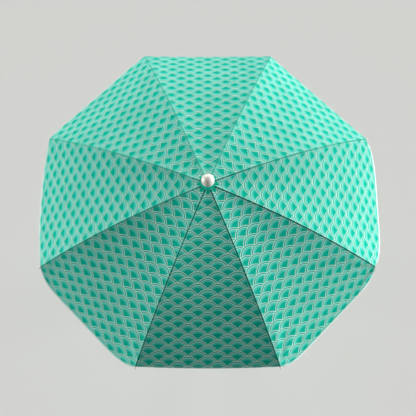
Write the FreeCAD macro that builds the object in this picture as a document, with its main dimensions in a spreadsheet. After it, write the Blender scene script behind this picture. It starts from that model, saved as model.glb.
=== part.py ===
"""Beach umbrella, in millimetres. +Z is up and the origin is the point of the ground spike.

Eight curved ribs carry a canopy of eight gores, each gore cut in two halves along its middle.
The ribs hinge on a hub at the top of the pole, and eight stretchers tie them to a runner that
slides on it. The pole tilts at a knuckle and telescopes into a lower tube with a ground spike.
"""
import FreeCAD, Part
import math
import os
import re

import Sketcher
from FreeCAD import Placement, Rotation, Vector

RIBS = 8
STEP = 360.0 / RIBS
HALF_STEP = STEP / 2.0
KNOB_GRIPS = 6
Y_AXIS = Vector(0, 1, 0)
X_AXIS = Vector(1, 0, 0)
Z_AXIS = Vector(0, 0, 1)
UPRIGHT = Rotation()
ALONG_X = Rotation(Y_AXIS, 90)
ALONG_Y = Rotation(X_AXIS, -90)

# Driving dimensions. Every level is a height above the spike's point.
DRIVING = {
    # canopy
    "tip_radius": 750.0,
    "canopy_depth": 217.5,
    "rim_level": 1715.0,
    "fabric": 1.2,
    "fabric_gap": 1.0,
    "crown_radius": 26.0,
    "gore_gap": 0.4,
    # clearances in radius
    "running": 0.05,
    "loose": 0.35,
    # ribs and stretchers
    "rod_radius": 2.0,
    "stretcher_rod": 1.75,
    "pivot_radius": 17.0,
    "joint_radius": 375.0,
    "lug_drop": 6.5,
    "lug_half": 1.3,
    "lug_radius": 3.6,
    "eye_radius": 3.4,
    "eye_half": 2.3,
    "wire_radius": 1.0,
    "wire_play": 0.2,
    "rivet_radius": 1.45,
    "rivet_head": 0.8,
    "cheek_radius": 4.2,
    "cheek_inner": 1.6,
    "cheek_outer": 3.6,
    "cheek_length": 14.0,
    "pin_radius": 1.3,
    "pin_half": 3.3,
    "blade_radius": 1.7,
    "blade_half": 1.3,
    "blade_length": 9.0,
    "rod_bury": 3.0,
    "fork_web": 5.0,
    "peg_radius": 2.7,
    "peg_inside": 6.0,
    "peg_outside": 15.0,
    "peg_point": 3.0,
    # pole
    "lower_radius": 12.5,
    "upper_radius": 11.0,
    "wall": 1.2,
    "neck": 0.3,
    "lower_foot": 130.0,
    "lower_top": 720.0,
    "plug_length": 42.0,
    "end_plug_lip": 2.0,
    "end_plug_length": 14.0,
    "middle_foot": 500.0,
    "middle_top": 1005.0,
    "upper_foot": 1090.0,
    # height lock
    "collar_foot": 675.0,
    "collar_top": 745.0,
    "collar_radius": 18.0,
    "collar_bevel": 3.0,
    "collar_flare": 6.0,
    "knob_level": 732.0,
    "boss_radius": 8.0,
    "boss_out": 26.0,
    "boss_bury": 3.0,
    "stud_radius": 3.0,
    "knob_radius": 15.0,
    "knob_out": 42.0,
    "knob_bevel": 2.0,
    "knob_gap": 1.0,
    "knob_neck": 4.0,
    # tilt joint
    "tilt_level": 1060.0,
    "tilt_radius": 16.0,
    "tilt_end": 15.0,
    "tilt_shoulder": 18.0,
    "tilt_foot": 985.0,
    "tilt_top": 1125.0,
    "tongue_half": 5.0,
    "ear_inner": 5.4,
    "ear_outer": 14.0,
    "tilt_pin_radius": 4.0,
    "pin_head": 2.0,
    "pin_peen": 1.5,
    "tongue_trim": 1.0,
    "tongue_bury": 2.0,
    "button_level": 1026.0,
    "button_radius": 6.0,
    "button_seat": 2.0,
    "button_back": 9.0,
    "button_out": 21.0,
    "button_bevel": 1.5,
    "button_play": 0.2,
    # runner, hub and finial
    "sleeve_radius": 14.4,
    "runner_below": 60.0,
    "flange_radius": 24.0,
    "hub_sleeve": 40.0,
    "hub_wall": 3.0,
    "hub_drop": 9.0,
    "hub_rise": 4.1,
    "hub_seat": 10.0,
    "flange_half": 4.0,
    "runner_crown": 7.0,
    "runner_lip": 2.0,
    "keyway_over": 12.0,
    "ball_level": 1973.0,
    "ball_radius": 26.6,
    "neck_radius": 9.5,
    "screw_radius": 3.0,
    "screw_drop": 12.0,
    "screw_bury": 8.0,
    "foot_flare": 2.5,
    "foot_gap": 0.1,
    "foot_top": 3.0,
    "neck_foot": 7.0,
    # runner catch
    "catch_half": 1.5,
    "catch_inner": 3.0,
    "catch_out": 15.2,
    "catch_drop": 4.0,
    "catch_height": 22.0,
    "catch_step": 7.0,
    "coil_outer": 3.2,
    "coil_inner": 2.2,
    "coil_gap": 0.6,
    # cutting tools run past the solid by this
    "past": 1.0,
    "slot_over": 0.5,
}


def derived(size):
    """Sizes that follow from the driving ones."""
    depth = size["canopy_depth"]
    apothem = size["tip_radius"] * math.cos(math.radians(HALF_STEP))
    rib_arc = (size["tip_radius"] ** 2 + depth**2) / (2 * depth)
    gore_arc = (apothem**2 + depth**2) / (2 * depth)
    apex = size["rim_level"] + depth
    rod_arc = rib_arc - size["fabric"] - size["fabric_gap"] - size["rod_radius"]
    centre = apex - rib_arc
    hub_level = centre + math.sqrt(rod_arc**2 - size["pivot_radius"] ** 2)
    lean = math.asin(size["joint_radius"] / rod_arc)
    lug_arc = rod_arc - size["lug_drop"]
    joint_x = lug_arc * math.sin(lean)
    joint_z = centre + lug_arc * math.cos(lean)
    reach = joint_x - size["pivot_radius"]
    drop = hub_level - joint_z
    runner_level = hub_level - 2 * drop
    return {
        "apothem": apothem,
        "apex": apex,
        "gore_arc": gore_arc,
        "rod_arc": rod_arc,
        "arc_centre": centre,
        "hub_level": hub_level,
        "joint_x": joint_x,
        "joint_z": joint_z,
        "joint_lean": math.degrees(lean),
        "tip_lean": math.degrees(math.asin(size["tip_radius"] / rib_arc)),
        "rod_start": math.degrees(math.asin((size["pivot_radius"] + 2.5) / rod_arc)),
        "link": math.hypot(reach, drop),
        "link_slope": math.degrees(math.atan2(drop, reach)),
        "runner_level": runner_level,
        "runner_foot": runner_level - size["runner_below"],
        "catch_top": runner_level - size["runner_below"] - size["catch_drop"],
    }


SIZE = dict(DRIVING)
SIZE.update(derived(DRIVING))
SUBPARTS = []

doc = FreeCAD.newDocument("BeachUmbrella")
sheet = doc.addObject("Spreadsheet::Sheet", "Sizes")
for row, (alias, value) in enumerate(SIZE.items(), start=1):
    sheet.set(f"A{row}", alias)
    sheet.set(f"B{row}", repr(float(value)))
    sheet.setAlias(f"B{row}", alias)
doc.recompute()


def cells(text):
    """An expression in which each alias names its cell of the sheet."""
    return re.sub(r"[a-z_]+", lambda word: "Sizes." + word[0] if word[0] in SIZE else word[0], str(text))


def value_of(text):
    """The number that an expression comes to."""
    return float(sheet.evalExpression(cells(text)))


# Part primitives and booleans


def primitive(kind, name, sizes, base=("0", "0", "0"), turn=UPRIGHT):
    """A Part primitive whose sizes and position are bound to the sheet."""
    item = doc.addObject("Part::" + kind, name)
    item.Placement = Placement(Vector(*[value_of(text) for text in base]), turn)
    for prop, text in sizes.items():
        item.setExpression(prop, cells(text))
    for letter, text in zip("xyz", base):
        item.setExpression("Placement.Base." + letter, cells(text))
    return item


def rod_z(name, radius, foot, top, x="0"):
    """Cylinder standing on Z between two levels."""
    return primitive("Cylinder", name, {"Radius": radius, "Height": f"{top} - ({foot})"}, (x, "0", foot))


def rod_x(name, radius, start, end, level):
    """Cylinder lying along X."""
    sizes = {"Radius": radius, "Height": f"{end} - ({start})"}
    return primitive("Cylinder", name, sizes, (start, "0", level), ALONG_X)


def rod_y(name, radius, start, end, x, level):
    """Cylinder lying along Y."""
    sizes = {"Radius": radius, "Height": f"{end} - ({start})"}
    return primitive("Cylinder", name, sizes, (x, start, level), ALONG_Y)


def through(half):
    """Two ends of a tool that passes right through a part of that half width."""
    return f"-{half} - past", f"{half} + past"


def block(name, low, high):
    """Box between two corners."""
    sizes = {side: f"{b} - ({a})" for side, a, b in zip(("Length", "Width", "Height"), low, high)}
    return primitive("Box", name, sizes, low)


def wire_ring(name, level, radius):
    """Round wire bent to a ring about the pole."""
    return primitive("Torus", name, {"Radius1": "pivot_radius", "Radius2": radius}, ("0", "0", level))


def fuse(name, *items):
    item = doc.addObject("Part::MultiFuse", name)
    item.Shapes = list(items)
    return item


def cut(name, base, tool):
    item = doc.addObject("Part::Cut", name)
    item.Base = base
    item.Tool = tool
    return item


# PartDesign bodies


def origin_plane(body, role):
    return next(item for item in body.Origin.OriginFeatures if item.Role == role)


def sketch_on(body, role, name):
    sketch = body.newObject("Sketcher::SketchObject", name)
    sketch.AttachmentSupport = (origin_plane(body, role), [""])
    sketch.MapMode = "FlatFace"
    return sketch


def hold_point(sketch, edge, end, place):
    """Ties one end of a sketch edge to the expressions of its two coordinates."""
    for kind, text in zip(("DistanceX", "DistanceY"), place):
        rule = Sketcher.Constraint(kind, -1, 1, edge, end, value_of(text))
        number = sketch.addConstraint(rule)
        sketch.setExpression(f"Constraints[{number}]", cells(text))


def outline(sketch, corners):
    """Closed outline of straight edges through corners given as pairs of expressions."""
    spots = [Vector(value_of(x), value_of(y), 0) for x, y in corners]
    count = len(spots)
    for index in range(count):
        sketch.addGeometry(Part.LineSegment(spots[index], spots[(index + 1) % count]))
    for index in range(count):
        sketch.addConstraint(Sketcher.Constraint("Coincident", index, 2, (index + 1) % count, 1))
    for index, corner in enumerate(corners):
        hold_point(sketch, index, 1, corner)
    return sketch


def turned(label, corners):
    """Body turned about the pole's axis from a half section of (radius, level) corners."""
    body = doc.addObject("PartDesign::Body", "Body_" + label)
    sketch = outline(sketch_on(body, "XZ_Plane", "Section_" + label), corners)
    turn = body.newObject("PartDesign::Revolution", "Turn_" + label)
    turn.Profile = sketch
    turn.ReferenceAxis = (sketch, ["V_Axis"])
    turn.Angle = 360
    return body


def tube(label, outer, inner, foot, top):
    return turned(label, [(inner, foot), (outer, foot), (outer, top), (inner, top)])


def cut_upward(body, name, corners, foot, height, azimuth=0.0, count=1):
    """Pocket cut upward from a level, as deep as height, and repeated about the pole."""
    sketch = sketch_on(body, "XY_Plane", "Outline_" + name)
    sketch.AttachmentOffset = Placement(Vector(0, 0, value_of(foot)), Rotation(Z_AXIS, azimuth))
    sketch.setExpression("AttachmentOffset.Base.z", cells(foot))
    outline(sketch, corners)
    before = solid_volume(body)
    pocket = body.newObject("PartDesign::Pocket", "Pocket_" + name)
    pocket.Profile = sketch
    pocket.Reversed = True
    pocket.setExpression("Length", cells(height))
    if count > 1:
        doc.recompute()
        pattern = body.newObject("PartDesign::PolarPattern", "Pattern_" + name)
        pattern.Originals = [pocket]
        pattern.Axis = (sketch, ["N_Axis"])
        pattern.Angle = 360
        pattern.Occurrences = count
        body.Tip = pattern
    if solid_volume(body) >= before:
        raise RuntimeError(f"{name} cut nothing")


def solid_volume(body):
    doc.recompute()
    return body.Shape.Volume


def slot_corners(inner, outer, half):
    """Rectangle across the local X axis, from one radius to another."""
    return [(inner, f"-({half})"), (outer, f"-({half})"), (outer, half), (inner, half)]


def keep(item, label, azimuth=0.0):
    """Registers a finished sub-part, turned about the pole to its azimuth."""
    item.Label = label
    if azimuth:
        item.Placement = Placement(Vector(), Rotation(Z_AXIS, azimuth))
    SUBPARTS.append(item)


# Pole, from the ground up


def make_ground_spike():
    """Solid point, and a plug that is pressed into the lower tube."""
    plug = "lower_radius - wall"
    section = [
        ("0", "0"),
        ("lower_radius * 0.16", "lower_foot * 0.04"),
        ("lower_radius * 0.72", "lower_foot * 0.7"),
        ("lower_radius * 0.98", "lower_foot * 0.86"),
        ("lower_radius * 0.98", "lower_foot"),
        (plug, "lower_foot"),
        (plug, "lower_foot + plug_length"),
        ("0", "lower_foot + plug_length"),
    ]
    keep(turned("ground_spike", section), "ground_spike")


def make_pole_tubes():
    """Lower tube with a necked end, the middle tube that slides in it, and the upper tube."""
    bore = "lower_radius - wall"
    keep(turned("pole_lower", [
        (bore, "lower_foot"),
        ("lower_radius", "lower_foot"),
        ("lower_radius", "collar_foot"),
        ("lower_radius - neck", "collar_foot"),
        ("lower_radius - neck", "lower_top"),
        (bore, "lower_top"),
    ]), "pole_lower")
    inner = "upper_radius - wall"
    keep(tube("pole_middle", "upper_radius", inner, "middle_foot", "middle_top"), "pole_middle")
    plug = [
        ("0", "middle_foot - end_plug_lip"),
        ("upper_radius", "middle_foot - end_plug_lip"),
        ("upper_radius", "middle_foot"),
        (inner, "middle_foot"),
        (inner, "middle_foot + end_plug_length"),
        ("0", "middle_foot + end_plug_length"),
    ]
    keep(turned("pole_end_plug", plug), "pole_end_plug")
    upper = tube("pole_upper", "upper_radius", inner, "upper_foot", "hub_level - hub_seat")
    half = "catch_half + loose"
    window = slot_corners("upper_radius * 0.5", "upper_radius * 1.5", half)
    cut_upward(upper, "catch_window", window, "catch_top - catch_height - loose", "catch_height + 2 * loose")
    keep(upper, "pole_upper")


def make_lock_collar():
    """Moulded collar on the lower tube, with a boss for the clamping knob."""
    inside = "upper_radius + loose"
    section = [
        ("lower_radius - neck", "collar_foot"),
        ("collar_radius - collar_bevel * 0.5", "collar_foot"),
        ("collar_radius", "collar_foot + collar_flare"),
        ("collar_radius", "collar_top - collar_bevel"),
        ("collar_radius - collar_bevel", "collar_top"),
        (inside, "collar_top"),
        (inside, "lower_top"),
        ("lower_radius - neck", "lower_top"),
    ]
    boss = rod_x("Collar_boss", "boss_radius", "upper_radius + boss_bury", "boss_out", "knob_level")
    solid = fuse("Collar_solid", turned("collar_sleeve", section), boss)
    bore = "stud_radius + running"
    hole = rod_x("Collar_hole", bore, "upper_radius - past", "boss_out + past", "knob_level")
    keep(cut("Collar", solid, hole), "lock_collar")


def make_height_knob():
    """Threaded stud with a gripped head. It is turned on Z, then laid along X at its level."""
    body = turned("height_knob", [
        ("0", "upper_radius + loose"),
        ("stud_radius", "upper_radius + loose"),
        ("stud_radius", "boss_out + knob_gap"),
        ("knob_radius * 0.6", "boss_out + knob_gap"),
        ("knob_radius * 0.6", "boss_out + knob_neck"),
        ("knob_radius", "boss_out + knob_neck"),
        ("knob_radius", "knob_out - knob_bevel"),
        ("knob_radius - knob_bevel", "knob_out"),
        ("0", "knob_out"),
    ])
    grip = slot_corners("knob_radius * 0.82", "knob_radius + past", "knob_radius * 0.2")
    under = "boss_out + knob_neck - past"
    cut_upward(body, "knob_grips", grip, under, "knob_out - boss_out", 0.0, KNOB_GRIPS)
    body.Label = "height_knob"
    body.Placement = Placement(Vector(0, 0, SIZE["knob_level"]), ALONG_X)
    body.setExpression("Placement.Base.z", cells("knob_level"))
    SUBPARTS.append(body)


def make_tilt_yoke():
    """Lower half of the tilt joint: a socket on the middle tube with two ears."""
    below = "tilt_level - tilt_shoulder"
    socket = rod_z("Yoke_socket", "tilt_radius", "tilt_foot", below)
    barrel = rod_z("Yoke_barrel", "tilt_radius", "tilt_foot", "tilt_level + tilt_end")
    round_end = rod_y("Yoke_round", "tilt_end", "-ear_outer", "ear_outer", "0", "tilt_level")
    low = ("-tilt_end", "-ear_outer", below)
    neck = block("Yoke_neck", low, ("tilt_end", "ear_outer", "tilt_level"))
    ears = doc.addObject("Part::MultiCommon", "Yoke_ears")
    ears.Shapes = [barrel, fuse("Yoke_ear_block", round_end, neck)]
    solid = fuse("Yoke_solid", socket, ears)
    low = ("-tilt_radius - past", "-ear_inner", below)
    gap = block("Yoke_gap", low, ("tilt_radius + past", "ear_inner", "tilt_level + tilt_radius"))
    bore = rod_z("Yoke_bore", "upper_radius", "tilt_foot - past", "middle_top")
    pin = rod_y("Yoke_pin_hole", "tilt_pin_radius", *through("tilt_radius"), "0", "tilt_level")
    pocket_radius = "button_radius + button_play"
    pocket = rod_x("Yoke_pocket", pocket_radius, "button_seat", "tilt_radius + past", "button_level")
    keep(cut("Yoke", solid, fuse("Yoke_tools", gap, bore, pin, pocket)), "tilt_yoke")


def make_tilt_knuckle():
    """Upper half of the tilt joint: a tongue between the ears, under the upper tube's socket."""
    above = "tilt_level + tilt_shoulder"
    socket = rod_z("Knuckle_socket", "tilt_radius", above, "tilt_top")
    tongue = rod_y("Knuckle_round", "tilt_end", "-tongue_half", "tongue_half", "0", "tilt_level")
    low = ("-tilt_end + tongue_trim", "-tongue_half", "tilt_level")
    high = ("tilt_end - tongue_trim", "tongue_half", f"{above} + tongue_bury")
    neck = block("Knuckle_neck", low, high)
    solid = fuse("Knuckle_solid", socket, tongue, neck)
    bore = rod_z("Knuckle_bore", "upper_radius", "upper_foot", "tilt_top + past")
    hole_radius = "tilt_pin_radius + running"
    hole = rod_y("Knuckle_hole", hole_radius, "-tilt_radius", "tilt_radius", "0", "tilt_level")
    keep(cut("Knuckle", solid, fuse("Knuckle_tools", bore, hole)), "tilt_knuckle")


def make_tilt_pin():
    """Headed pin through both ears."""
    shank = rod_y("Pin_shank", "tilt_pin_radius", "-ear_outer", "ear_outer", "0", "tilt_level")
    wide = "tilt_pin_radius + pin_head"
    head = rod_y("Pin_head", wide, "ear_outer", "ear_outer + pin_head", "0", "tilt_level")
    wide = "tilt_pin_radius + pin_peen"
    peen = rod_y("Pin_peen", wide, "-ear_outer - pin_peen", "-ear_outer", "0", "tilt_level")
    keep(fuse("Tilt_pin", shank, head, peen), "tilt_pin")


def make_tilt_button():
    """Push button in the yoke's pocket, and the coil behind it as a plain sleeve."""
    face = "button_out - button_bevel"
    body = rod_x("Button_body", "button_radius", "button_back", face, "button_level")
    sizes = {"Radius1": "button_radius", "Radius2": "button_radius - button_bevel", "Height": "button_bevel"}
    crown = primitive("Cone", "Button_crown", sizes, (face, "0", "button_level"), ALONG_X)
    keep(fuse("Button", body, crown), "tilt_button")
    outer = rod_x("Spring_outer", "button_radius * 0.7", "button_seat", "button_back", "button_level")
    bore = "button_radius * 0.5"
    inner = rod_x("Spring_inner", bore, "button_seat - past", "button_back + past", "button_level")
    keep(cut("Button_coil", outer, inner), "tilt_button_spring")


# Hub, finial and runner


def make_hub():
    """Crown with a slot for each rib, on a sleeve that is pressed over the upper tube."""
    foot = "hub_level - hub_sleeve"
    under = "hub_level - hub_drop"
    over = "hub_level + hub_rise"
    body = turned("hub_crown", [
        ("upper_radius", foot),
        ("upper_radius + hub_wall", foot),
        ("upper_radius + hub_wall", under),
        ("flange_radius", under),
        ("flange_radius", over),
        ("screw_radius", over),
        ("screw_radius", "hub_level - hub_seat"),
        ("upper_radius", "hub_level - hub_seat"),
    ])
    slot = slot_corners("pivot_radius - eye_radius - loose", "flange_radius + past", "eye_half + loose")
    depth = "hub_drop + hub_rise + 2 * slot_over"
    cut_upward(body, "rib_slots", slot, f"{under} - slot_over", depth, HALF_STEP, RIBS)
    channel = wire_ring("Hub_channel", "hub_level", "wire_radius")
    keep(cut("Hub", body, channel), "hub_crown")
    keep(wire_ring("Hub_wire", "hub_level", "wire_radius"), "hub_ring_wire")


def make_finial():
    """Ball finial on a neck and a foot that clamps the canopy's crown patch."""
    foot = "apex + fabric + foot_gap"
    neck = turned("finial_neck", [
        ("0", foot),
        ("neck_radius + foot_flare", foot),
        ("neck_radius + foot_flare", "apex + foot_top"),
        ("neck_radius", "apex + neck_foot"),
        ("neck_radius", "ball_level - ball_radius * 0.8"),
        ("0", "ball_level - ball_radius * 0.8"),
    ])
    ball = primitive("Sphere", "Finial_ball", {"Radius": "ball_radius"}, ("0", "0", "ball_level"))
    hole = rod_z("Finial_hole", "screw_radius", "apex", "ball_level - screw_bury")
    keep(cut("Finial", fuse("Finial_solid", neck, ball), hole), "ball_finial")
    screw = rod_z("Finial_screw", "screw_radius", "hub_level - screw_drop", "ball_level - screw_bury")
    keep(screw, "finial_screw")
    patch = tube("crown_patch", "crown_radius - loose", "screw_radius + loose", "apex", "apex + fabric")
    keep(patch, "crown_patch")


def make_runner():
    """Sliding sleeve whose flange has a pin socket, open below, for each stretcher."""
    body = turned("runner", [
        ("upper_radius + loose", "runner_foot"),
        ("sleeve_radius", "runner_foot"),
        ("sleeve_radius", "runner_level - flange_half"),
        ("flange_radius", "runner_level - flange_half"),
        ("flange_radius", "runner_level + flange_half"),
        ("sleeve_radius + runner_lip", "runner_level + runner_crown"),
        ("upper_radius + loose", "runner_level + runner_crown"),
    ])
    inner = "pivot_radius - blade_radius - loose"
    under = "runner_level - flange_half - past"
    slot = slot_corners(inner, "flange_radius + past", "stretcher_rod + loose")
    cut_upward(body, "blade_slots", slot, under, "flange_half + runner_crown + 2 * past", HALF_STEP, RIBS)
    socket = slot_corners(inner, "pivot_radius + blade_radius + loose", "pin_half + loose")
    cut_upward(body, "pin_sockets", socket, under, "flange_half + past + pin_radius + loose", HALF_STEP, RIBS)
    keyway = slot_corners("0", "catch_out + loose", "catch_half + loose")
    cut_upward(body, "catch_keyway", keyway, "runner_foot - past", "runner_below + keyway_over")
    keep(body, "runner")


def make_runner_catch():
    """Wedge that stands out of the upper tube below the open runner, and its coil as a sleeve."""
    body = doc.addObject("PartDesign::Body", "Body_catch")
    foot = "catch_top - catch_height"
    sketch = outline(sketch_on(body, "XZ_Plane", "Side_catch"), [
        ("catch_inner", foot),
        ("upper_radius + 0.5", foot),
        ("catch_out", "catch_top - catch_step"),
        ("catch_out", "catch_top"),
        ("catch_inner", "catch_top"),
    ])
    pad = body.newObject("PartDesign::Pad", "Pad_catch")
    pad.Profile = sketch
    pad.SideType = "Symmetric"
    pad.setExpression("Length", cells("2 * catch_half"))
    keep(body, "runner_catch")
    middle = "catch_top - catch_height * 0.5"
    outer = rod_x("Coil_outer", "coil_outer", "-upper_radius + wall + coil_gap", "catch_inner", middle)
    inner = rod_x("Coil_inner", "coil_inner", "-upper_radius", "catch_inner + past", middle)
    keep(cut("Catch_coil", outer, inner), "catch_spring")


# One rib with its stretcher and its two half gores


def make_rib(number, azimuth):
    """Curved rod with an eye at the hub and a lug for the stretcher."""
    name = f"rib_{number:02d}"
    rod = primitive(
        "Torus",
        name + "_rod",
        {"Radius1": "rod_arc", "Radius2": "rod_radius", "Angle3": "tip_lean - rod_start"},
        ("0", "0", "arc_centre"),
    )
    sweep = Rotation(X_AXIS, 90) * Rotation(Z_AXIS, 90 - SIZE["tip_lean"])
    rod.Placement = Placement(rod.Placement.Base, sweep)
    eye = rod_y(name + "_eye", "eye_radius", "-eye_half", "eye_half", "pivot_radius", "hub_level")
    lug_end = rod_y(name + "_lug_end", "lug_radius", "-lug_half", "lug_half", "joint_x", "joint_z")
    lean = Rotation(Y_AXIS, SIZE["joint_lean"])
    sizes = {"Length": "2 * lug_radius", "Width": "2 * lug_half", "Height": "lug_drop"}
    corner = (
        "joint_x - lug_radius * cos(joint_lean * 1 deg)",
        "-lug_half",
        "joint_z + lug_radius * sin(joint_lean * 1 deg)",
    )
    plate = primitive("Box", name + "_lug_plate", sizes, corner, lean)
    solid = fuse(name + "_solid", rod, eye, lug_end, plate)
    wire_radius = "wire_radius + wire_play"
    wire = rod_y(name + "_eye_hole", wire_radius, *through("eye_half"), "pivot_radius", "hub_level")
    hole_radius = "rivet_radius + running"
    hole = rod_y(name + "_lug_hole", hole_radius, *through("lug_half"), "joint_x", "joint_z")
    keep(cut(name + "_cut", solid, fuse(name + "_holes", wire, hole)), name, azimuth)


def make_rib_tip(number, azimuth):
    """Moulded peg on the rib's outer end, which holds the canopy's corner."""
    name = f"rib_tip_{number:02d}"
    peg = doc.addObject("PartDesign::Body", "Body_" + name)
    sketch = outline(sketch_on(peg, "XZ_Plane", "Section_" + name), [
        ("0", "-peg_inside"),
        ("peg_radius", "-peg_inside"),
        ("peg_radius", "peg_outside - peg_point"),
        ("peg_radius * 0.6", "peg_outside"),
        ("0", "peg_outside"),
    ])
    turn = peg.newObject("PartDesign::Revolution", "Turn_" + name)
    turn.Profile = sketch
    turn.ReferenceAxis = (sketch, ["V_Axis"])
    turn.Angle = 360
    socket = peg.newObject("Sketcher::SketchObject", "Socket_" + name)
    socket.AttachmentSupport = (origin_plane(peg, "XZ_Plane"), [""])
    socket.MapMode = "FlatFace"
    outline(socket, [
        ("0", "-peg_inside - past"),
        ("rod_radius", "-peg_inside - past"),
        ("rod_radius", "0"),
        ("0", "0"),
    ])
    bore = peg.newObject("PartDesign::Groove", "Bore_" + name)
    bore.Profile = socket
    bore.ReferenceAxis = (socket, ["V_Axis"])
    bore.Angle = 360
    lean = math.radians(SIZE["tip_lean"])
    end = Vector(SIZE["rod_arc"] * math.sin(lean), 0, SIZE["arc_centre"] + SIZE["rod_arc"] * math.cos(lean))
    along = Rotation(Y_AXIS, 90 + SIZE["tip_lean"])
    turn_out = Placement(Vector(), Rotation(Z_AXIS, azimuth))
    peg.Label = name
    peg.Placement = turn_out * Placement(end, along)
    SUBPARTS.append(peg)


def make_stretcher(number, azimuth):
    """Straight rod with a riveted fork at the rib and a cross pin at the runner."""
    name = f"stretcher_{number:02d}"
    rod = rod_z(name + "_rod", "stretcher_rod", "blade_length - rod_bury", "link - cheek_length + rod_bury")
    blade_end = rod_y(name + "_blade_end", "blade_radius", "-blade_half", "blade_half", "0", "0")
    low = ("-blade_radius", "-blade_half", "0")
    blade = block(name + "_blade", low, ("blade_radius", "blade_half", "blade_length"))
    cross = rod_y(name + "_cross_pin", "pin_radius", "-pin_half", "pin_half", "0", "0")
    round_end = rod_y(name + "_cheeks", "cheek_radius", "-cheek_outer", "cheek_outer", "0", "link")
    low = ("-cheek_radius", "-cheek_outer", "link - cheek_length")
    fork = block(name + "_fork", low, ("cheek_radius", "cheek_outer", "link"))
    solid = fuse(name + "_solid", rod, blade_end, blade, cross, round_end, fork)
    low = ("-cheek_radius - past", "-cheek_inner", "link - cheek_length + fork_web")
    gap = block(name + "_gap", low, ("cheek_radius + past", "cheek_inner", "link + cheek_radius + past"))
    head = "cheek_outer + rivet_head"
    rivet = rod_y(name + "_rivet", "rivet_radius", f"-({head})", head, "0", "link")
    item = fuse(name + "_riveted", cut(name + "_forked", solid, gap), rivet)
    foot = Vector(SIZE["pivot_radius"], 0, SIZE["runner_level"])
    rise = Rotation(Y_AXIS, 90 - SIZE["link_slope"])
    turn_out = Placement(Vector(), Rotation(Z_AXIS, azimuth))
    item.Label = name
    item.Placement = turn_out * Placement(foot, rise)
    SUBPARTS.append(item)


def gore_band(sketch):
    """Cross-section of the canopy along a gore's middle: two concentric arcs and two ends."""
    centre = Vector(0, value_of("apex - gore_arc"), 0)
    arcs = ("gore_arc", "gore_arc - fabric")
    ends = []
    for number, radius in enumerate(arcs):
        size = value_of(radius)
        inner = math.acos(value_of("crown_radius") / size)
        outer = math.acos(value_of("apothem") / size)
        circle = Part.Circle(centre, Z_AXIS, size)
        sketch.addGeometry(Part.ArcOfCircle(circle, outer, inner))
        ends.append([sketch.Geometry[number].StartPoint, sketch.Geometry[number].EndPoint])
        rule = sketch.addConstraint(Sketcher.Constraint("Radius", number, size))
        sketch.setExpression(f"Constraints[{rule}]", cells(radius))
        hold_point(sketch, number, 3, ("0", "apex - gore_arc"))
        for end, text in ((1, "apothem"), (2, "crown_radius")):
            rule = sketch.addConstraint(Sketcher.Constraint("DistanceX", -1, 1, number, end, value_of(text)))
            sketch.setExpression(f"Constraints[{rule}]", cells(text))
    for end in (0, 1):
        edge = sketch.addGeometry(Part.LineSegment(ends[0][end], ends[1][end]))
        sketch.addConstraint(Sketcher.Constraint("Coincident", 0, end + 1, edge, 1))
        sketch.addConstraint(Sketcher.Constraint("Coincident", 1, end + 1, edge, 2))


def make_half_gore(number, side, azimuth):
    """Half a gore: straight across between its rib and the gore's middle. side is +1 or -1.

    It is built with the gore's middle in the XZ plane, on the side where its rib lies.
    """
    name = f"canopy_{number:02d}_{'right' if side > 0 else 'left'}"
    body = doc.addObject("PartDesign::Body", "Body_" + name)
    band = sketch_on(body, "XZ_Plane", "Band_" + name)
    gore_band(band)
    pad = body.newObject("PartDesign::Pad", "Pad_" + name)
    pad.Profile = band
    pad.Reversed = side > 0
    pad.setExpression("Length", cells("tip_radius * 0.4"))
    plan = sketch_on(body, "XY_Plane", "Plan_" + name)
    far = "tip_radius * 1.2"
    at_rib = f"tip_radius * 1.2 * tan({HALF_STEP} * 1 deg) - gore_gap"
    corners = [("0", "-gore_gap"), (far, at_rib), (far, far), ("-fabric", far), ("-fabric", "-gore_gap")]
    outline(plan, [(x, f"{side} * ({y})") for x, y in corners])
    doc.recompute()
    before = body.Shape.Volume
    trim = body.newObject("PartDesign::Pocket", "Trim_" + name)
    trim.Profile = plan
    trim.SideType = "Symmetric"
    trim.setExpression("Length", cells("4 * rim_level"))
    doc.recompute()
    if body.Shape.Volume > 0.7 * before:
        raise RuntimeError(f"{name} was not trimmed to its rib")
    keep(body, name, azimuth)


def check_and_write():
    """Stops on any failed object or bad shape, then writes one STEP file per sub-part."""
    doc.recompute()
    for item in doc.Objects:
        if "Invalid" in item.State or "Error" in item.State:
            raise RuntimeError(f"{item.Name} failed: {item.State}")
    os.makedirs("parts", exist_ok=True)
    for item in SUBPARTS:
        solid = item.Shape
        if solid.isNull() or not solid.isValid() or not solid.Solids:
            raise RuntimeError(f"{item.Label} has a bad shape")
        solid.exportStep(f"parts/{item.Label}.step")
        print(item.Label, len(solid.Solids), round(solid.Volume, 1))


make_ground_spike()
make_pole_tubes()
make_lock_collar()
make_height_knob()
make_tilt_yoke()
make_tilt_knuckle()
make_tilt_pin()
make_tilt_button()
make_hub()
make_finial()
make_runner()
make_runner_catch()
for index in range(RIBS):
    number = index + 1
    azimuth = HALF_STEP + index * STEP
    make_rib(number, azimuth)
    make_rib_tip(number, azimuth)
    make_stretcher(number, azimuth)
    make_half_gore(number, 1, azimuth - HALF_STEP)
    make_half_gore(number, -1, azimuth + HALF_STEP)
check_and_write()
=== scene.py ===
import math

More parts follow.
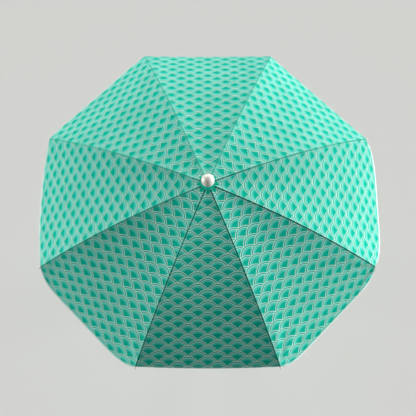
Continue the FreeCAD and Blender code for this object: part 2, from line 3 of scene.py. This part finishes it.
import bmesh
import bpy
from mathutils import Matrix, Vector


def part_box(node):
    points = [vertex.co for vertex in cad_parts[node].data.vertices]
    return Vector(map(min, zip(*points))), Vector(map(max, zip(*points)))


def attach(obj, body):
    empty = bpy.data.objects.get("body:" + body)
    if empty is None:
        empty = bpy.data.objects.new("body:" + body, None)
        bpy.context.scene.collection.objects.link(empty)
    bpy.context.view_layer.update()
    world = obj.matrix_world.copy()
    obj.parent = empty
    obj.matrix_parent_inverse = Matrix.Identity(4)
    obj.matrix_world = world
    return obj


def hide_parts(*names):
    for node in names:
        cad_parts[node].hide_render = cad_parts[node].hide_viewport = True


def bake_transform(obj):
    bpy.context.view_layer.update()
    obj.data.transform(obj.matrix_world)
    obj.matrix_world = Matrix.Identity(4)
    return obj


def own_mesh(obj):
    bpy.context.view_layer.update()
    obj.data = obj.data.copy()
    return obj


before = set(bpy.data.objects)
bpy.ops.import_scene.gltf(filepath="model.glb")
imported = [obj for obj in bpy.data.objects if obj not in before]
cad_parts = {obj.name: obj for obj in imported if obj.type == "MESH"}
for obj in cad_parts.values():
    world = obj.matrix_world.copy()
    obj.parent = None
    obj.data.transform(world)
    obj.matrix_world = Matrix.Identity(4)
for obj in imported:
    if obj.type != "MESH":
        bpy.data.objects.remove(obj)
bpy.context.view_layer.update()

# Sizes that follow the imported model, in metres
RIBS = 8
HALF_STEP = math.radians(22.5)
TIP_RADIUS = 0.75
DEPTH = 0.2175
RIM_LEVEL = 1.715
APEX = RIM_LEVEL + DEPTH
APOTHEM = TIP_RADIUS * math.cos(HALF_STEP)
GORE_ARC = (APOTHEM**2 + DEPTH**2) / (2 * DEPTH)
CROWN_RADIUS = 0.026

# Cloth, in metres unless a comment says otherwise
THICKNESS = 0.0008
SAG = 0.011
SAG_PEAK = 0.62  # share of the way to the rim
RIPPLE = 0.0005
RIPPLE_START = 0.1
HEM_DROOP = 0.25  # share of the hem's reach
FULL_REACH = 0.03  # reach at which the hem's turned edge shows in full
SEAM_WIDTH = 0.0044
SEAM_RISE = 0.0007
SEAM_SINK = 0.0003
# Strength of the painted shadow on the binding of ribs 1 to 8: beside the finial, at the tip, and how
# fast it fades
SEAM_SHADOW = (
    (0.90, 0.30, 2.5),
    (0.15, 0.08, 4.0),
    (0.12, 0.04, 4.0),
    (0.85, 0.03, 16.0),
    (0.85, 0.35, 10.0),
    (0.85, 0.75, 4.0),
    (0.90, 0.85, 4.0),
    (1.00, 0.95, 4.0),
)
FREE_WIDTH = 0.05
PUCKER = 0.0009
PUCKER_WIDTH = 0.008
PUCKER_FADE = 2.5  # in pucker widths
PUCKER_STEP = 0.031
GATHER = {225: 0.003, 270: 0.0025, 315: 0.006}  # by azimuth of the gore, in degrees
LIGHT_GATHER = 0.0015  # on the other gores
GATHER_REACH = 0.10
GATHER_START = 0.018
GATHER_FOLDS = 11
CROWN_PUCKER = 0.0012
CROWN_REACH = 0.020
CROWN_FOLDS = 24
GORE_ROWS, GORE_COLUMNS = 84, 30
SEAM_ROWS, SEAM_COLUMNS = 90, 6
PATCH_ROWS, PATCH_COLUMNS = 10, 96
PATCH_HOLE = 0.0036
PATCH_FOLD = 0.3  # share of the crown's pucker
THREAD = 0.0007
STITCH = 0.0036
HEM_STITCHES = (0.0028, 0.0075)
RIB_STITCHES = (0.0052,)

# Names of a gore's halves, by the side of the rib
SIDES = {1: "left", -1: "right"}

# The printed scales
PITCH = 0.078
ROW = 0.293 * PITCH
SCALE_RADIUS = 0.573 * PITCH
ROW_START = 0.004
FAN_RAYS = 20.0
PLAIN_SPOT = ROW_START + 1.4 * ROW  # arc length that falls inside a fan, clear of any line

# Gore by azimuth of its middle, in degrees: how far the hem stands past the chord between its
# tips, in metres, and how squarely it does so (a higher power holds that width nearer the tips)
HEM_FULLNESS = {
    0: (0.040, 5.0),
    45: (0.003, 2.0),
    90: (0.004, 6.0),
    135: (0.013, 6.0),
    180: (0.026, 2.5),
    225: (0.036, 7.0),
    270: (0.006, 2.0),
    315: (0.032, 8.0),
}


def srgb(red, green, blue):
    """Linear colour of an 8-bit sRGB one."""
    out = []
    for value in (red, green, blue):
        share = value / 255
        out.append(share / 12.92 if share <= 0.04045 else ((share + 0.055) / 1.055) ** 2.4)
    return (*out, 1.0)


class Graph:
    """Short calls for one material's nodes."""

    def __init__(self, name):
        self.material = bpy.data.materials.new(name)
        self.material.use_nodes = True
        self.tree = self.material.node_tree
        self.tree.nodes.clear()
        self.shader = self.add("ShaderNodeBsdfPrincipled")
        output = self.add("ShaderNodeOutputMaterial")
        self.tree.links.new(self.shader.outputs[0], output.inputs[0])

    def add(self, kind, **values):
        node = self.tree.nodes.new(kind)
        for name, value in values.items():
            setattr(node, name, value)
        return node

    def put(self, socket, value):
        if isinstance(value, bpy.types.NodeSocket):
            self.tree.links.new(value, socket)
        else:
            socket.default_value = value

    def set(self, name, value):
        self.put(self.shader.inputs[name], value)

    def math(self, operation, *values):
        node = self.add("ShaderNodeMath", operation=operation)
        for socket, value in zip(node.inputs, values):
            self.put(socket, value)
        return node.outputs[0]

    def smooth(self, value, low, high, start=0.0, end=1.0):
        node = self.add("ShaderNodeMapRange", interpolation_type="SMOOTHSTEP")
        for socket, item in zip(node.inputs, (value, low, high, start, end)):
            self.put(socket, item)
        return node.outputs[0]

    def mix(self, factor, first, second):
        node = self.add("ShaderNodeMix", data_type="RGBA")
        self.put(node.inputs["Factor"], factor)
        self.put(node.inputs[6], first)
        self.put(node.inputs[7], second)
        return node.outputs[2]

    def blend(self, factor, first, second):
        node = self.add("ShaderNodeMix", data_type="FLOAT")
        self.put(node.inputs[0], factor)
        self.put(node.inputs[2], first)
        self.put(node.inputs[3], second)
        return node.outputs[0]

    def ramp(self, value, stops):
        node = self.add("ShaderNodeValToRGB")
        points = node.color_ramp.elements
        while len(points) < len(stops):
            points.new(0.5)
        for point, (place, colour) in zip(points, stops):
            point.position = place
            point.color = colour
        self.put(node.inputs[0], value)
        return node.outputs[0]

    def noise(self, scale, vector=None, detail=2.0, roughness=0.5):
        node = self.add("ShaderNodeTexNoise")
        for name, value in (("Scale", scale), ("Detail", detail), ("Roughness", roughness)):
            self.put(node.inputs[name], value)
        self.put(node.inputs["Vector"], self.place() if vector is None else vector)
        return node.outputs[0]

    def wave(self, distance, length):
        """Sine along a distance, with the given wavelength."""
        return self.math("SINE", self.math("MULTIPLY", distance, 2 * math.pi / length))

    def place(self):
        return self.add("ShaderNodeTexCoord").outputs["Object"]

    def attribute(self, name):
        node = self.add("ShaderNodeAttribute", attribute_name=name)
        parts = self.add("ShaderNodeSeparateXYZ")
        self.tree.links.new(node.outputs["Vector"], parts.inputs[0])
        return node.outputs["Vector"], parts.outputs

    def bump(self, height, distance, strength=1.0, normal=None):
        node = self.add("ShaderNodeBump")
        self.put(node.inputs["Height"], height)
        self.put(node.inputs["Distance"], distance)
        self.put(node.inputs["Strength"], strength)
        if normal is not None:
            self.put(node.inputs["Normal"], normal)
        return node.outputs[0]


# Materials


def scale_print(graph, across, along):
    """Distance from the fan's point, as a share of the scale's radius, and the angle round it."""
    row = graph.math("DIVIDE", graph.math("SUBTRACT", along, ROW_START), ROW)
    base = graph.math("FLOOR", row)
    found = None
    for ahead in range(3):
        number = graph.math("ADD", base, float(ahead))
        offset = graph.math("MULTIPLY", graph.math("FLOORED_MODULO", number, 2.0), PITCH / 2)
        side = graph.math("WRAP", graph.math("SUBTRACT", across, offset), PITCH / 2, -PITCH / 2)
        drop = graph.math("MULTIPLY", graph.math("SUBTRACT", number, row), ROW)
        squares = graph.math("ADD", graph.math("POWER", side, 2.0), graph.math("POWER", drop, 2.0))
        share = graph.math("DIVIDE", graph.math("SQRT", squares), SCALE_RADIUS)
        angle = graph.math("ARCTAN2", side, drop)
        if found is None:
            found = (share, angle)
        else:
            inside = graph.math("LESS_THAN", share, 1.0)
            found = tuple(graph.blend(inside, old, new) for old, new in zip(found, (share, angle)))
    return found


def make_canopy_cloth(name, fan, band, fine, mid, line, dark, roughness, gloss):
    """Woven polyester with the printed scales, a stitched hem and stitched seams."""
    graph = Graph(name)
    cloth, (across, along, full) = graph.attribute("cloth")
    _, (from_rib, from_hem, on_hem) = graph.attribute("edge")
    share, angle = scale_print(graph, across, along)
    printed = graph.ramp(share, [
        (0.0, fan),
        (0.575, fan),
        (0.61, band),
        (0.785, band),
        (0.803, fine),
        (0.83, fine),
        (0.85, mid),
        (0.945, mid),
        (0.965, line),
        (1.0, line),
    ])
    stripes = graph.math("COSINE", graph.math("MULTIPLY", angle, FAN_RAYS))
    in_fan = graph.math("MULTIPLY", graph.smooth(share, 0.62, 0.57), graph.smooth(share, 0.15, 0.32))
    shade = graph.math("MULTIPLY", graph.smooth(stripes, 0.1, -0.7), in_fan)
    colour = graph.mix(graph.math("MULTIPLY", shade, 0.6), printed, dark)
    rays = graph.math("MULTIPLY", graph.smooth(stripes, 0.4, 0.95), in_fan)
    colour = graph.mix(graph.math("MULTIPLY", rays, 0.10), colour, band)
    fade = graph.smooth(graph.noise(9.0, cloth), 0.35, 0.75, 0.0, 0.12)
    colour = graph.mix(fade, colour, dark)
    # Painted shade: the cloth darkens within a few millimetres of each rib, standing in for the seam's
    # shaded valley
    colour = graph.mix(graph.smooth(from_rib, 0.0035, 0.0015, 0.0, 0.2), colour, dark)
    weave = graph.math("ADD", graph.wave(across, THREAD), graph.wave(along, THREAD))
    normal = graph.bump(weave, 0.00004, 0.5)
    crumple = graph.noise(26.0, cloth, detail=3.0)
    normal = graph.bump(crumple, 0.0030, 0.5, normal)
    stitch = 0.0
    for edge, run, places in ((from_hem, on_hem, HEM_STITCHES), (from_rib, along, RIB_STITCHES)):
        for spot in places:
            near = graph.math("ABSOLUTE", graph.math("SUBTRACT", edge, spot))
            row = graph.smooth(near, 0.0006, 0.0003)
            dash = graph.smooth(graph.wave(run, STITCH), -0.35, 0.1)
            stitch = graph.math("MAXIMUM", graph.math("MULTIPLY", row, dash), stitch)
    colour = graph.mix(graph.math("MULTIPLY", stitch, 0.7), colour, line)
    normal = graph.bump(stitch, 0.0004, 0.8, normal)
    fold = graph.smooth(from_hem, 0.0096, 0.0090)
    normal = graph.bump(fold, 0.0005, 0.8, normal)
    turned = graph.math("MULTIPLY", graph.smooth(from_hem, 0.0065, 0.0045), full)
    graph.set("Base Color", graph.mix(turned, colour, line))
    graph.set("Roughness", roughness)
    graph.set("Specular IOR Level", gloss)
    graph.set("Normal", normal)
    return graph.material


def make_seam_cloth():
    """Binding over each rib, darkened by a painted shadow whose strength is set per rib, with a stitched
    middle.
    """
    graph = Graph("seam_binding_and_shadow")
    cloth, (across, along, shadow_share) = graph.attribute("cloth")
    tone = graph.smooth(graph.noise(60.0, cloth), 0.3, 0.7)
    pale = graph.mix(tone, srgb(10, 176, 148), srgb(40, 188, 164))
    # Painted shadow: the binding turns to this dark tone by the strength stored in the cloth attribute's
    # third value
    shadow_colour = graph.mix(tone, srgb(0, 56, 44), srgb(0, 76, 60))
    colour = graph.mix(shadow_share, pale, shadow_colour)
    dash = graph.smooth(graph.wave(along, STITCH), -0.3, 0.1)
    near = graph.smooth(graph.math("ABSOLUTE", across), 0.0007, 0.0003)
    stitch = graph.math("MULTIPLY", dash, near)
    shown = graph.math("MULTIPLY", stitch, graph.smooth(shadow_share, 0.0, 1.0, 0.6, 0.1))
    graph.set("Base Color", graph.mix(shown, colour, srgb(90, 190, 165)))
    graph.set("Roughness", 0.8)
    graph.set("Specular IOR Level", 0.1)
    graph.set("Normal", graph.bump(stitch, 0.0003, 0.8))
    return graph.material


def make_moulded(name, base, tint, rough, grain=0.00004, coat=0.0):
    """Moulded plastic or paint: faint mottling, a fine grain and slightly uneven gloss."""
    graph = Graph(name)
    broad = graph.smooth(graph.noise(14.0), 0.3, 0.7)
    graph.set("Base Color", graph.mix(broad, base, tint))
    graph.set("Roughness", graph.smooth(graph.noise(45.0, detail=4.0), 0.3, 0.7, rough, rough + 0.10))
    graph.set("Coat Weight", coat)
    graph.set("Coat Roughness", 0.12)
    graph.set("Normal", graph.bump(graph.noise(420.0, detail=3.0), grain, 0.5))
    return graph.material


def make_metal(name, base, worn, rough, drawn=True):
    """Drawn or plated metal: fine lines along the part and darker rubbed patches."""
    graph = Graph(name)
    stretch = graph.add("ShaderNodeVectorMath", operation="MULTIPLY")
    graph.put(stretch.inputs[0], graph.place())
    graph.put(stretch.inputs[1], (1.0, 1.0, 0.04 if drawn else 1.0))
    lines = graph.noise(900.0, stretch.outputs[0], detail=2.0)
    patches = graph.smooth(graph.noise(32.0, detail=5.0, roughness=0.65), 0.50, 0.72)
    graph.set("Base Color", graph.mix(patches, base, worn))
    graph.set("Metallic", 0.9)
    graph.set("Roughness", graph.smooth(lines, 0.3, 0.7, rough, rough + 0.15))
    graph.set("Normal", graph.bump(lines, 0.00002, 0.4))
    return graph.material


def make_enamel(name, base, chip, chips=0.66):
    """White enamel on steel: orange peel, and small chips down to grey metal."""
    graph = Graph(name)
    peel = graph.noise(230.0, detail=2.0)
    spots = graph.smooth(graph.noise(85.0, detail=6.0, roughness=0.7), chips, chips + 0.03)
    grime = graph.smooth(graph.noise(11.0, detail=3.0), 0.45, 0.8, 0.0, 0.16)
    colour = graph.mix(grime, base, srgb(196, 192, 180))
    graph.set("Base Color", graph.mix(spots, colour, chip))
    graph.set("Roughness", graph.smooth(spots, 0.0, 1.0, 0.28, 0.5))
    graph.set("Coat Weight", 0.35)
    graph.set("Coat Roughness", 0.15)
    graph.set("Normal", graph.bump(peel, 0.00005, 0.6))
    return graph.material


CLOTH_FRONT = make_canopy_cloth(
    "canopy_cloth",
    fan=srgb(0, 188, 160),
    band=srgb(74, 206, 188),
    fine=srgb(206, 238, 231),
    mid=srgb(0, 178, 152),
    line=srgb(224, 242, 238),
    dark=srgb(0, 146, 118),
    roughness=0.60,
    gloss=0.03,
)
CLOTH_BACK = make_canopy_cloth(
    "canopy_lining",
    fan=srgb(92, 196, 172),
    band=srgb(140, 214, 198),
    fine=srgb(160, 220, 206),
    mid=srgb(120, 206, 186),
    line=srgb(192, 232, 222),
    dark=srgb(84, 176, 154),
    roughness=0.80,
    gloss=0.12,
)
SEAM = make_seam_cloth()
GLOSS_WHITE = make_moulded("finial_gloss", srgb(226, 223, 215), srgb(218, 212, 200), 0.16, 0.00002, 0.6)
SATIN_WHITE = make_moulded("white_plastic", srgb(216, 214, 206), srgb(206, 202, 192), 0.38)
GREY = make_moulded("grey_plastic", srgb(150, 152, 154), srgb(132, 134, 138), 0.42)
ENAMEL = make_enamel("white_enamel", srgb(222, 220, 213), srgb(120, 122, 124))
RIB_PAINT = make_enamel("rib_paint", srgb(226, 226, 220), srgb(110, 112, 114), 0.70)
ZINC = make_metal("zinc_steel", srgb(196, 198, 198), srgb(150, 150, 146), 0.28)

FINISHES = {
    "ground_spike": SATIN_WHITE,
    "pole_": ENAMEL,
    "pole_end_plug": SATIN_WHITE,
    "lock_collar": SATIN_WHITE,
    "height_knob": SATIN_WHITE,
    "tilt_yoke": SATIN_WHITE,
    "tilt_knuckle": SATIN_WHITE,
    "tilt_pin": ZINC,
    "tilt_button": GREY,
    "tilt_button_spring": ZINC,
    "hub_crown": SATIN_WHITE,
    "hub_ring_wire": ZINC,
    "ball_finial": GLOSS_WHITE,
    "finial_screw": ZINC,
    "runner": SATIN_WHITE,
    "runner_catch": ZINC,
    "catch_spring": ZINC,
    "rib_tip_": SATIN_WHITE,
    "rib_": RIB_PAINT,
    "stretcher_": RIB_PAINT,
}


def finish_cad_nodes():
    """Gives each CAD node the finish of the longest name that fits it."""
    for name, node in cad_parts.items():
        fits = [key for key in FINISHES if name.startswith(key)]
        if not fits:
            continue
        finish = FINISHES[max(fits, key=len)]
        for slot in node.material_slots:
            slot.material = finish


# Canopy


def axes(angle):
    """Unit vectors outwards from the pole at an angle, and across that to the left."""
    out = Vector((math.cos(angle), math.sin(angle), 0))
    return out, Vector((-math.sin(angle), math.cos(angle), 0))


def hem_reach(gore, share):
    """How far past the chord the hem stands, share running from the clockwise rib to the other."""
    amount, power = HEM_FULLNESS[gore]
    return amount * (1 - abs(2 * share - 1) ** power)


def bow(radius, arc=GORE_ARC):
    """Height of the canopy's outer face at a distance from the axis, along a gore's middle."""
    return APEX - arc + math.sqrt(arc**2 - radius**2)


def ripple(x, y, seed):
    """Gentle unevenness of cloth, in metres."""
    waves = ((9, 13, 1.0), (-21, 17, 0.6), (31, 8, 0.45), (14, -37, 0.3))
    total = 0.0
    for number, (wave_x, wave_y, size) in enumerate(waves):
        total += size * math.sin(wave_x * x + wave_y * y + 1.7 * seed + 2.1 * number)
    return total * RIPPLE


def cloth_height(gore, x, y, half_width, rib_gap):
    """Height of a gore's outer face: x along its middle, y across it, in the gore's own axes."""
    rim = x / APOTHEM
    share = abs(y) / max(half_width, 1e-6)
    z = bow(x) - SAG * (1 - (rim - SAG_PEAK) ** 2 / SAG_PEAK**2) * (1 - share**2)
    free = math.sin(math.pi * min(1.0, rib_gap / FREE_WIDTH) / 2)
    z += ripple(x, y, gore / 45) * min(1.0, x / RIPPLE_START) * free
    beside = min(1.0, rib_gap / PUCKER_WIDTH) * math.exp(-rib_gap / (PUCKER_FADE * PUCKER_WIDTH))
    z += PUCKER * beside * math.sin(2 * math.pi * x / PUCKER_STEP + 2.3 * math.sin(23 * x + gore))
    side = APOTHEM * math.tan(HALF_STEP) - abs(y)
    to_tip = math.hypot(APOTHEM - x, side)
    turn = math.atan2(side, APOTHEM - x)
    drawn = GATHER.get(gore, LIGHT_GATHER) * math.exp(-to_tip / GATHER_REACH)
    z += drawn * math.sin(GATHER_FOLDS * turn + gore) * min(1.0, rib_gap / GATHER_START) ** 2
    around = math.atan2(y, x)
    crown = CROWN_PUCKER * math.exp(-max(0.0, x - CROWN_RADIUS) / CROWN_REACH)
    z += crown * math.cos(CROWN_FOLDS * around)
    return z


def apply_modifiers(piece):
    """Keeps the shape that the modifiers give, and removes them."""
    bpy.context.view_layer.update()
    shaped = piece.evaluated_get(bpy.context.evaluated_depsgraph_get())
    data = bpy.data.meshes.new_from_object(shaped)
    piece.modifiers.clear()
    piece.data = data


def thicken(piece, thickness):
    """Gives a sheet its thickness, inwards, with its second material behind and on the sharp rim."""
    faces = len(piece.data.polygons)
    solid = piece.modifiers.new("thickness", "SOLIDIFY")
    solid.thickness = thickness
    solid.offset = -1
    solid.material_offset = 1
    solid.material_offset_rim = 1
    apply_modifiers(piece)
    edges = {edge.key: edge for edge in piece.data.edges}
    for polygon in piece.data.polygons[2 * faces:]:
        polygon.use_smooth = False
        for key in polygon.edge_keys:
            edges[key].use_edge_sharp = True


def grid_piece(mesh, grid, name, materials, flipped=False):
    """Turns a grid of vertices into a thickened piece of cloth."""
    for upper, lower in zip(grid, grid[1:]):
        for column in range(len(upper) - 1):
            corners = [upper[column], lower[column], lower[column + 1], upper[column + 1]]
            if flipped:
                corners.reverse()
            mesh.faces.new(corners).smooth = True
    data = bpy.data.meshes.new(name)
    mesh.to_mesh(data)
    mesh.free()
    piece = bpy.data.objects.new(name, data)
    bpy.context.scene.collection.objects.link(piece)
    for material in materials:
        data.materials.append(material)
    thicken(piece, THICKNESS)
    return piece


def half_gore(number, side):
    """Half a gore as a grid from its rib to the gore's middle. side is +1 for left, -1 for right."""
    rows, columns = GORE_ROWS, GORE_COLUMNS
    rib = HALF_STEP * (2 * number - 1)
    middle = rib + side * HALF_STEP
    gore = round(math.degrees(middle)) % 360
    out, cross = axes(middle)
    mesh = bmesh.new()
    cloth = mesh.verts.layers.float_vector.new("cloth")
    edge = mesh.verts.layers.float_vector.new("edge")
    grid = []
    for row in range(rows + 1):
        line = []
        down = row / rows
        for column in range(columns + 1):
            even = column / columns
            t = 0.5 * even + 0.5 * (0.5 - 0.5 * math.cos(math.pi * even))
            across = 0.5 - side * 0.5 * (1 - t)
            reach = hem_reach(gore, across)
            start = CROWN_RADIUS * math.cos(HALF_STEP)
            stretch = 0.9 * down + 0.1 * (1 - (1 - down) ** 2)
            x = start + (APOTHEM - start) * stretch
            width = x * math.tan(HALF_STEP)
            y = -side * width * (1 - t)
            gap = width * t * math.cos(HALF_STEP)
            x += reach * down**6
            z = cloth_height(gore, x, y, width, gap) - HEM_DROOP * reach * down**8
            point = out * x + cross * y
            vert = mesh.verts.new((point.x, point.y, z))
            arc = GORE_ARC * math.asin(min(1.0, x / GORE_ARC))
            hem = GORE_ARC * math.asin(min(1.0, (APOTHEM + reach) / GORE_ARC))
            vert[cloth] = (y, arc, min(1.0, reach / FULL_REACH))
            vert[edge] = (gap, hem - arc, y)
            line.append(vert)
        grid.append(line)
    name = f"fabric_{number:02d}_{SIDES[side]}"
    return grid_piece(mesh, grid, name, [CLOTH_FRONT, CLOTH_BACK], side < 0), rib, gore


def make_seam(number):
    """Narrow binding along a rib, rolled over the seam of two gores."""
    rows, columns = SEAM_ROWS, SEAM_COLUMNS
    rib = HALF_STEP * (2 * number - 1)
    out, cross = axes(rib)
    mesh = bmesh.new()
    cloth = mesh.verts.layers.float_vector.new("cloth")
    grid = []
    for row in range(rows + 1):
        radius = CROWN_RADIUS + (TIP_RADIUS - CROWN_RADIUS) * row / rows
        height = bow(radius * math.cos(HALF_STEP))
        # Strength of the painted shadow on the binding at this distance along the rib
        inner, outer, fading = SEAM_SHADOW[number - 1]
        depth = outer + (inner - outer) * (1 - row / rows) ** fading
        line = []
        for column in range(columns + 1):
            spread = 2 * column / columns - 1
            width = 0.5 * SEAM_WIDTH * spread
            rise = SEAM_RISE * math.sqrt(max(0.0, 1 - spread**2)) - SEAM_SINK
            point = out * radius + cross * width
            vert = mesh.verts.new((point.x, point.y, height + rise))
            vert[cloth] = (width, radius, depth)
            line.append(vert)
        grid.append(line)
    piece = grid_piece(mesh, grid, f"seam_{number:02d}", [SEAM, SEAM])
    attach(piece, f"rib_{number:02d}")
    return piece


def make_canopy():
    """Sixteen half gores, each reaching from its rib to the middle of its gore, and a seam on each rib.
    """
    for number in range(1, RIBS + 1):
        seam = make_seam(number)
        for side, label in SIDES.items():
            piece, rib, gore = half_gore(number, side)
            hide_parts(f"canopy_{number:02d}_{label}")
            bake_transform(piece)


def make_crown_patch():
    """Round of the same cloth over the gores' points, puckered under the finial."""
    rows, columns = PATCH_ROWS, PATCH_COLUMNS
    _, (outer, _, top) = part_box("crown_patch")
    inner = PATCH_HOLE
    mesh = bmesh.new()
    cloth = mesh.verts.layers.float_vector.new("cloth")
    edge = mesh.verts.layers.float_vector.new("edge")
    grid = []
    for row in range(rows + 1):
        radius = inner + (outer - inner) * row / rows
        line = []
        for column in range(columns):
            turn = 2 * math.pi * column / columns
            fold = CROWN_PUCKER * PATCH_FOLD * (row / rows) ** 2 * math.cos(CROWN_FOLDS * turn)
            vert = mesh.verts.new((radius * math.cos(turn), radius * math.sin(turn), top + fold))
            vert[cloth] = (0, PLAIN_SPOT, 0)
            # A rib distance of 0 gives the whole patch the painted seam shade, darkening it under the
            # finial
            vert[edge] = (0, 1, radius * turn)
            line.append(vert)
        line.append(line[0])
        grid.append(line)
    piece = grid_piece(mesh, grid, "crown_patch_cloth", [CLOTH_FRONT, CLOTH_BACK])
    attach(piece, "mast_upper")
    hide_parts("crown_patch")


# Springs

COIL_STEPS = 28
END_CLOSING = 0.9  # 1 would lay the end turns flat


def make_coil(node, body, turns, wire):
    """Compression spring lying along X, with closed ends, where the design holds a plain sleeve."""
    low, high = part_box(node)
    length = high[0] - low[0]
    radius = 0.5 * (high[2] - low[2]) - wire
    middle_y, middle_z = 0.5 * (low[1] + high[1]), 0.5 * (low[2] + high[2])
    count = turns * COIL_STEPS
    curve = bpy.data.curves.new(f"{node}_wire", "CURVE")
    curve.dimensions = "3D"
    curve.bevel_depth = wire
    curve.bevel_resolution = 3
    curve.use_fill_caps = True
    spline = curve.splines.new("POLY")
    spline.points.add(count)
    for number, point in enumerate(spline.points):
        turn = 2 * math.pi * number / COIL_STEPS
        share = number / count
        rise = share - END_CLOSING * math.sin(2 * math.pi * share) / (2 * math.pi)
        x = low[0] + wire + (length - 2 * wire) * rise
        point.co = (x, middle_y + radius * math.cos(turn), middle_z + radius * math.sin(turn), 1)
    wound = bpy.data.objects.new(f"{node}_wire", curve)
    bpy.context.scene.collection.objects.link(wound)
    bpy.context.view_layer.update()
    data = bpy.data.meshes.new_from_object(wound.evaluated_get(bpy.context.evaluated_depsgraph_get()))
    bpy.data.objects.remove(wound)
    coil = bpy.data.objects.new(f"{node}_coil", data)
    bpy.context.scene.collection.objects.link(coil)
    data.materials.clear()
    data.materials.append(ZINC)
    for polygon in data.polygons:
        polygon.use_smooth = True
    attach(coil, body)
    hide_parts(node)
    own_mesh(coil)


# Light, floor and camera

WORLD_COLOUR = (0.86, 0.86, 0.85, 1)
WORLD_POWER = 0.06
BACKDROP_POWER = 0.9
SOFTNESS = math.radians(22)
FLOOR_HALF_SIDE = 60.0

# Azimuth and elevation in degrees, and power, of each sun
LIGHTS = {
    "right": (8, 9, 5.1),
    "right_back": (70, 24, 1.3),
    "left_back": (110, 24, 1.2),
    "left": (178, 9, 3.1),
}

# Camera, in metres, degrees and millimetres
CAMERA_PLACE = (0.0007, -0.9885, 4.686)
CAMERA_TILT = 17.86
LENS = 63.6
SENSOR = 36


def add_sun(name, azimuth, elevation, power):
    """Soft even light from a direction given in degrees."""
    data = bpy.data.lights.new(name, "SUN")
    data.angle = SOFTNESS
    data.energy = power
    light = bpy.data.objects.new(name, data)
    bpy.context.scene.collection.objects.link(light)
    turn, rise = math.radians(azimuth), math.radians(elevation)
    away = Vector((math.cos(turn) * math.cos(rise), math.sin(turn) * math.cos(rise), math.sin(rise)))
    light.rotation_euler = (-away).to_track_quat("-Z", "Y").to_euler()


def make_world():
    """Dim pale fill, with a brighter pale backdrop beyond the floor's edge."""
    world = bpy.data.worlds.new("studio")
    world.use_nodes = True
    tree = world.node_tree
    background = tree.nodes["Background"]
    background.inputs[0].default_value = WORLD_COLOUR
    seen = tree.nodes.new("ShaderNodeLightPath")
    power = tree.nodes.new("ShaderNodeMapRange")
    for socket, value in zip(power.inputs[1:5], (0.0, 1.0, WORLD_POWER, BACKDROP_POWER)):
        socket.default_value = value
    tree.links.new(seen.outputs["Is Camera Ray"], power.inputs[0])
    tree.links.new(power.outputs[0], background.inputs[1])
    bpy.context.scene.world = world


def make_stage():
    """Pale floor, backdrop and the suns."""
    data = bpy.data.meshes.new("floor")
    side = FLOOR_HALF_SIDE
    corners = [(-side, -side, 0), (side, -side, 0), (side, side, 0), (-side, side, 0)]
    data.from_pydata(corners, [], [(0, 1, 2, 3)])
    floor = bpy.data.objects.new("floor", data)
    bpy.context.scene.collection.objects.link(floor)
    graph = Graph("studio_floor")
    graph.set("Base Color", srgb(232, 231, 228))
    graph.set("Roughness", 0.9)
    data.materials.append(graph.material)
    make_world()
    for name, (azimuth, elevation, power) in LIGHTS.items():
        add_sun(name, azimuth, elevation, power)


def make_camera():
    """Camera at the photograph's viewing angle, from above and a little in front."""
    data = bpy.data.cameras.new("camera")
    data.lens = LENS
    data.sensor_width = SENSOR
    camera = bpy.data.objects.new("camera", data)
    bpy.context.scene.collection.objects.link(camera)
    camera.location = CAMERA_PLACE
    camera.rotation_euler = (math.radians(CAMERA_TILT), 0, 0)
    bpy.context.scene.camera = camera


bpy.context.scene.view_settings.view_transform = "Standard"
make_camera()
make_stage()
finish_cad_nodes()
make_canopy()
make_crown_patch()
make_coil("tilt_button_spring", "mast_lower", turns=4, wire=0.00035)
make_coil("catch_spring", "mast_upper", turns=7, wire=0.0004)
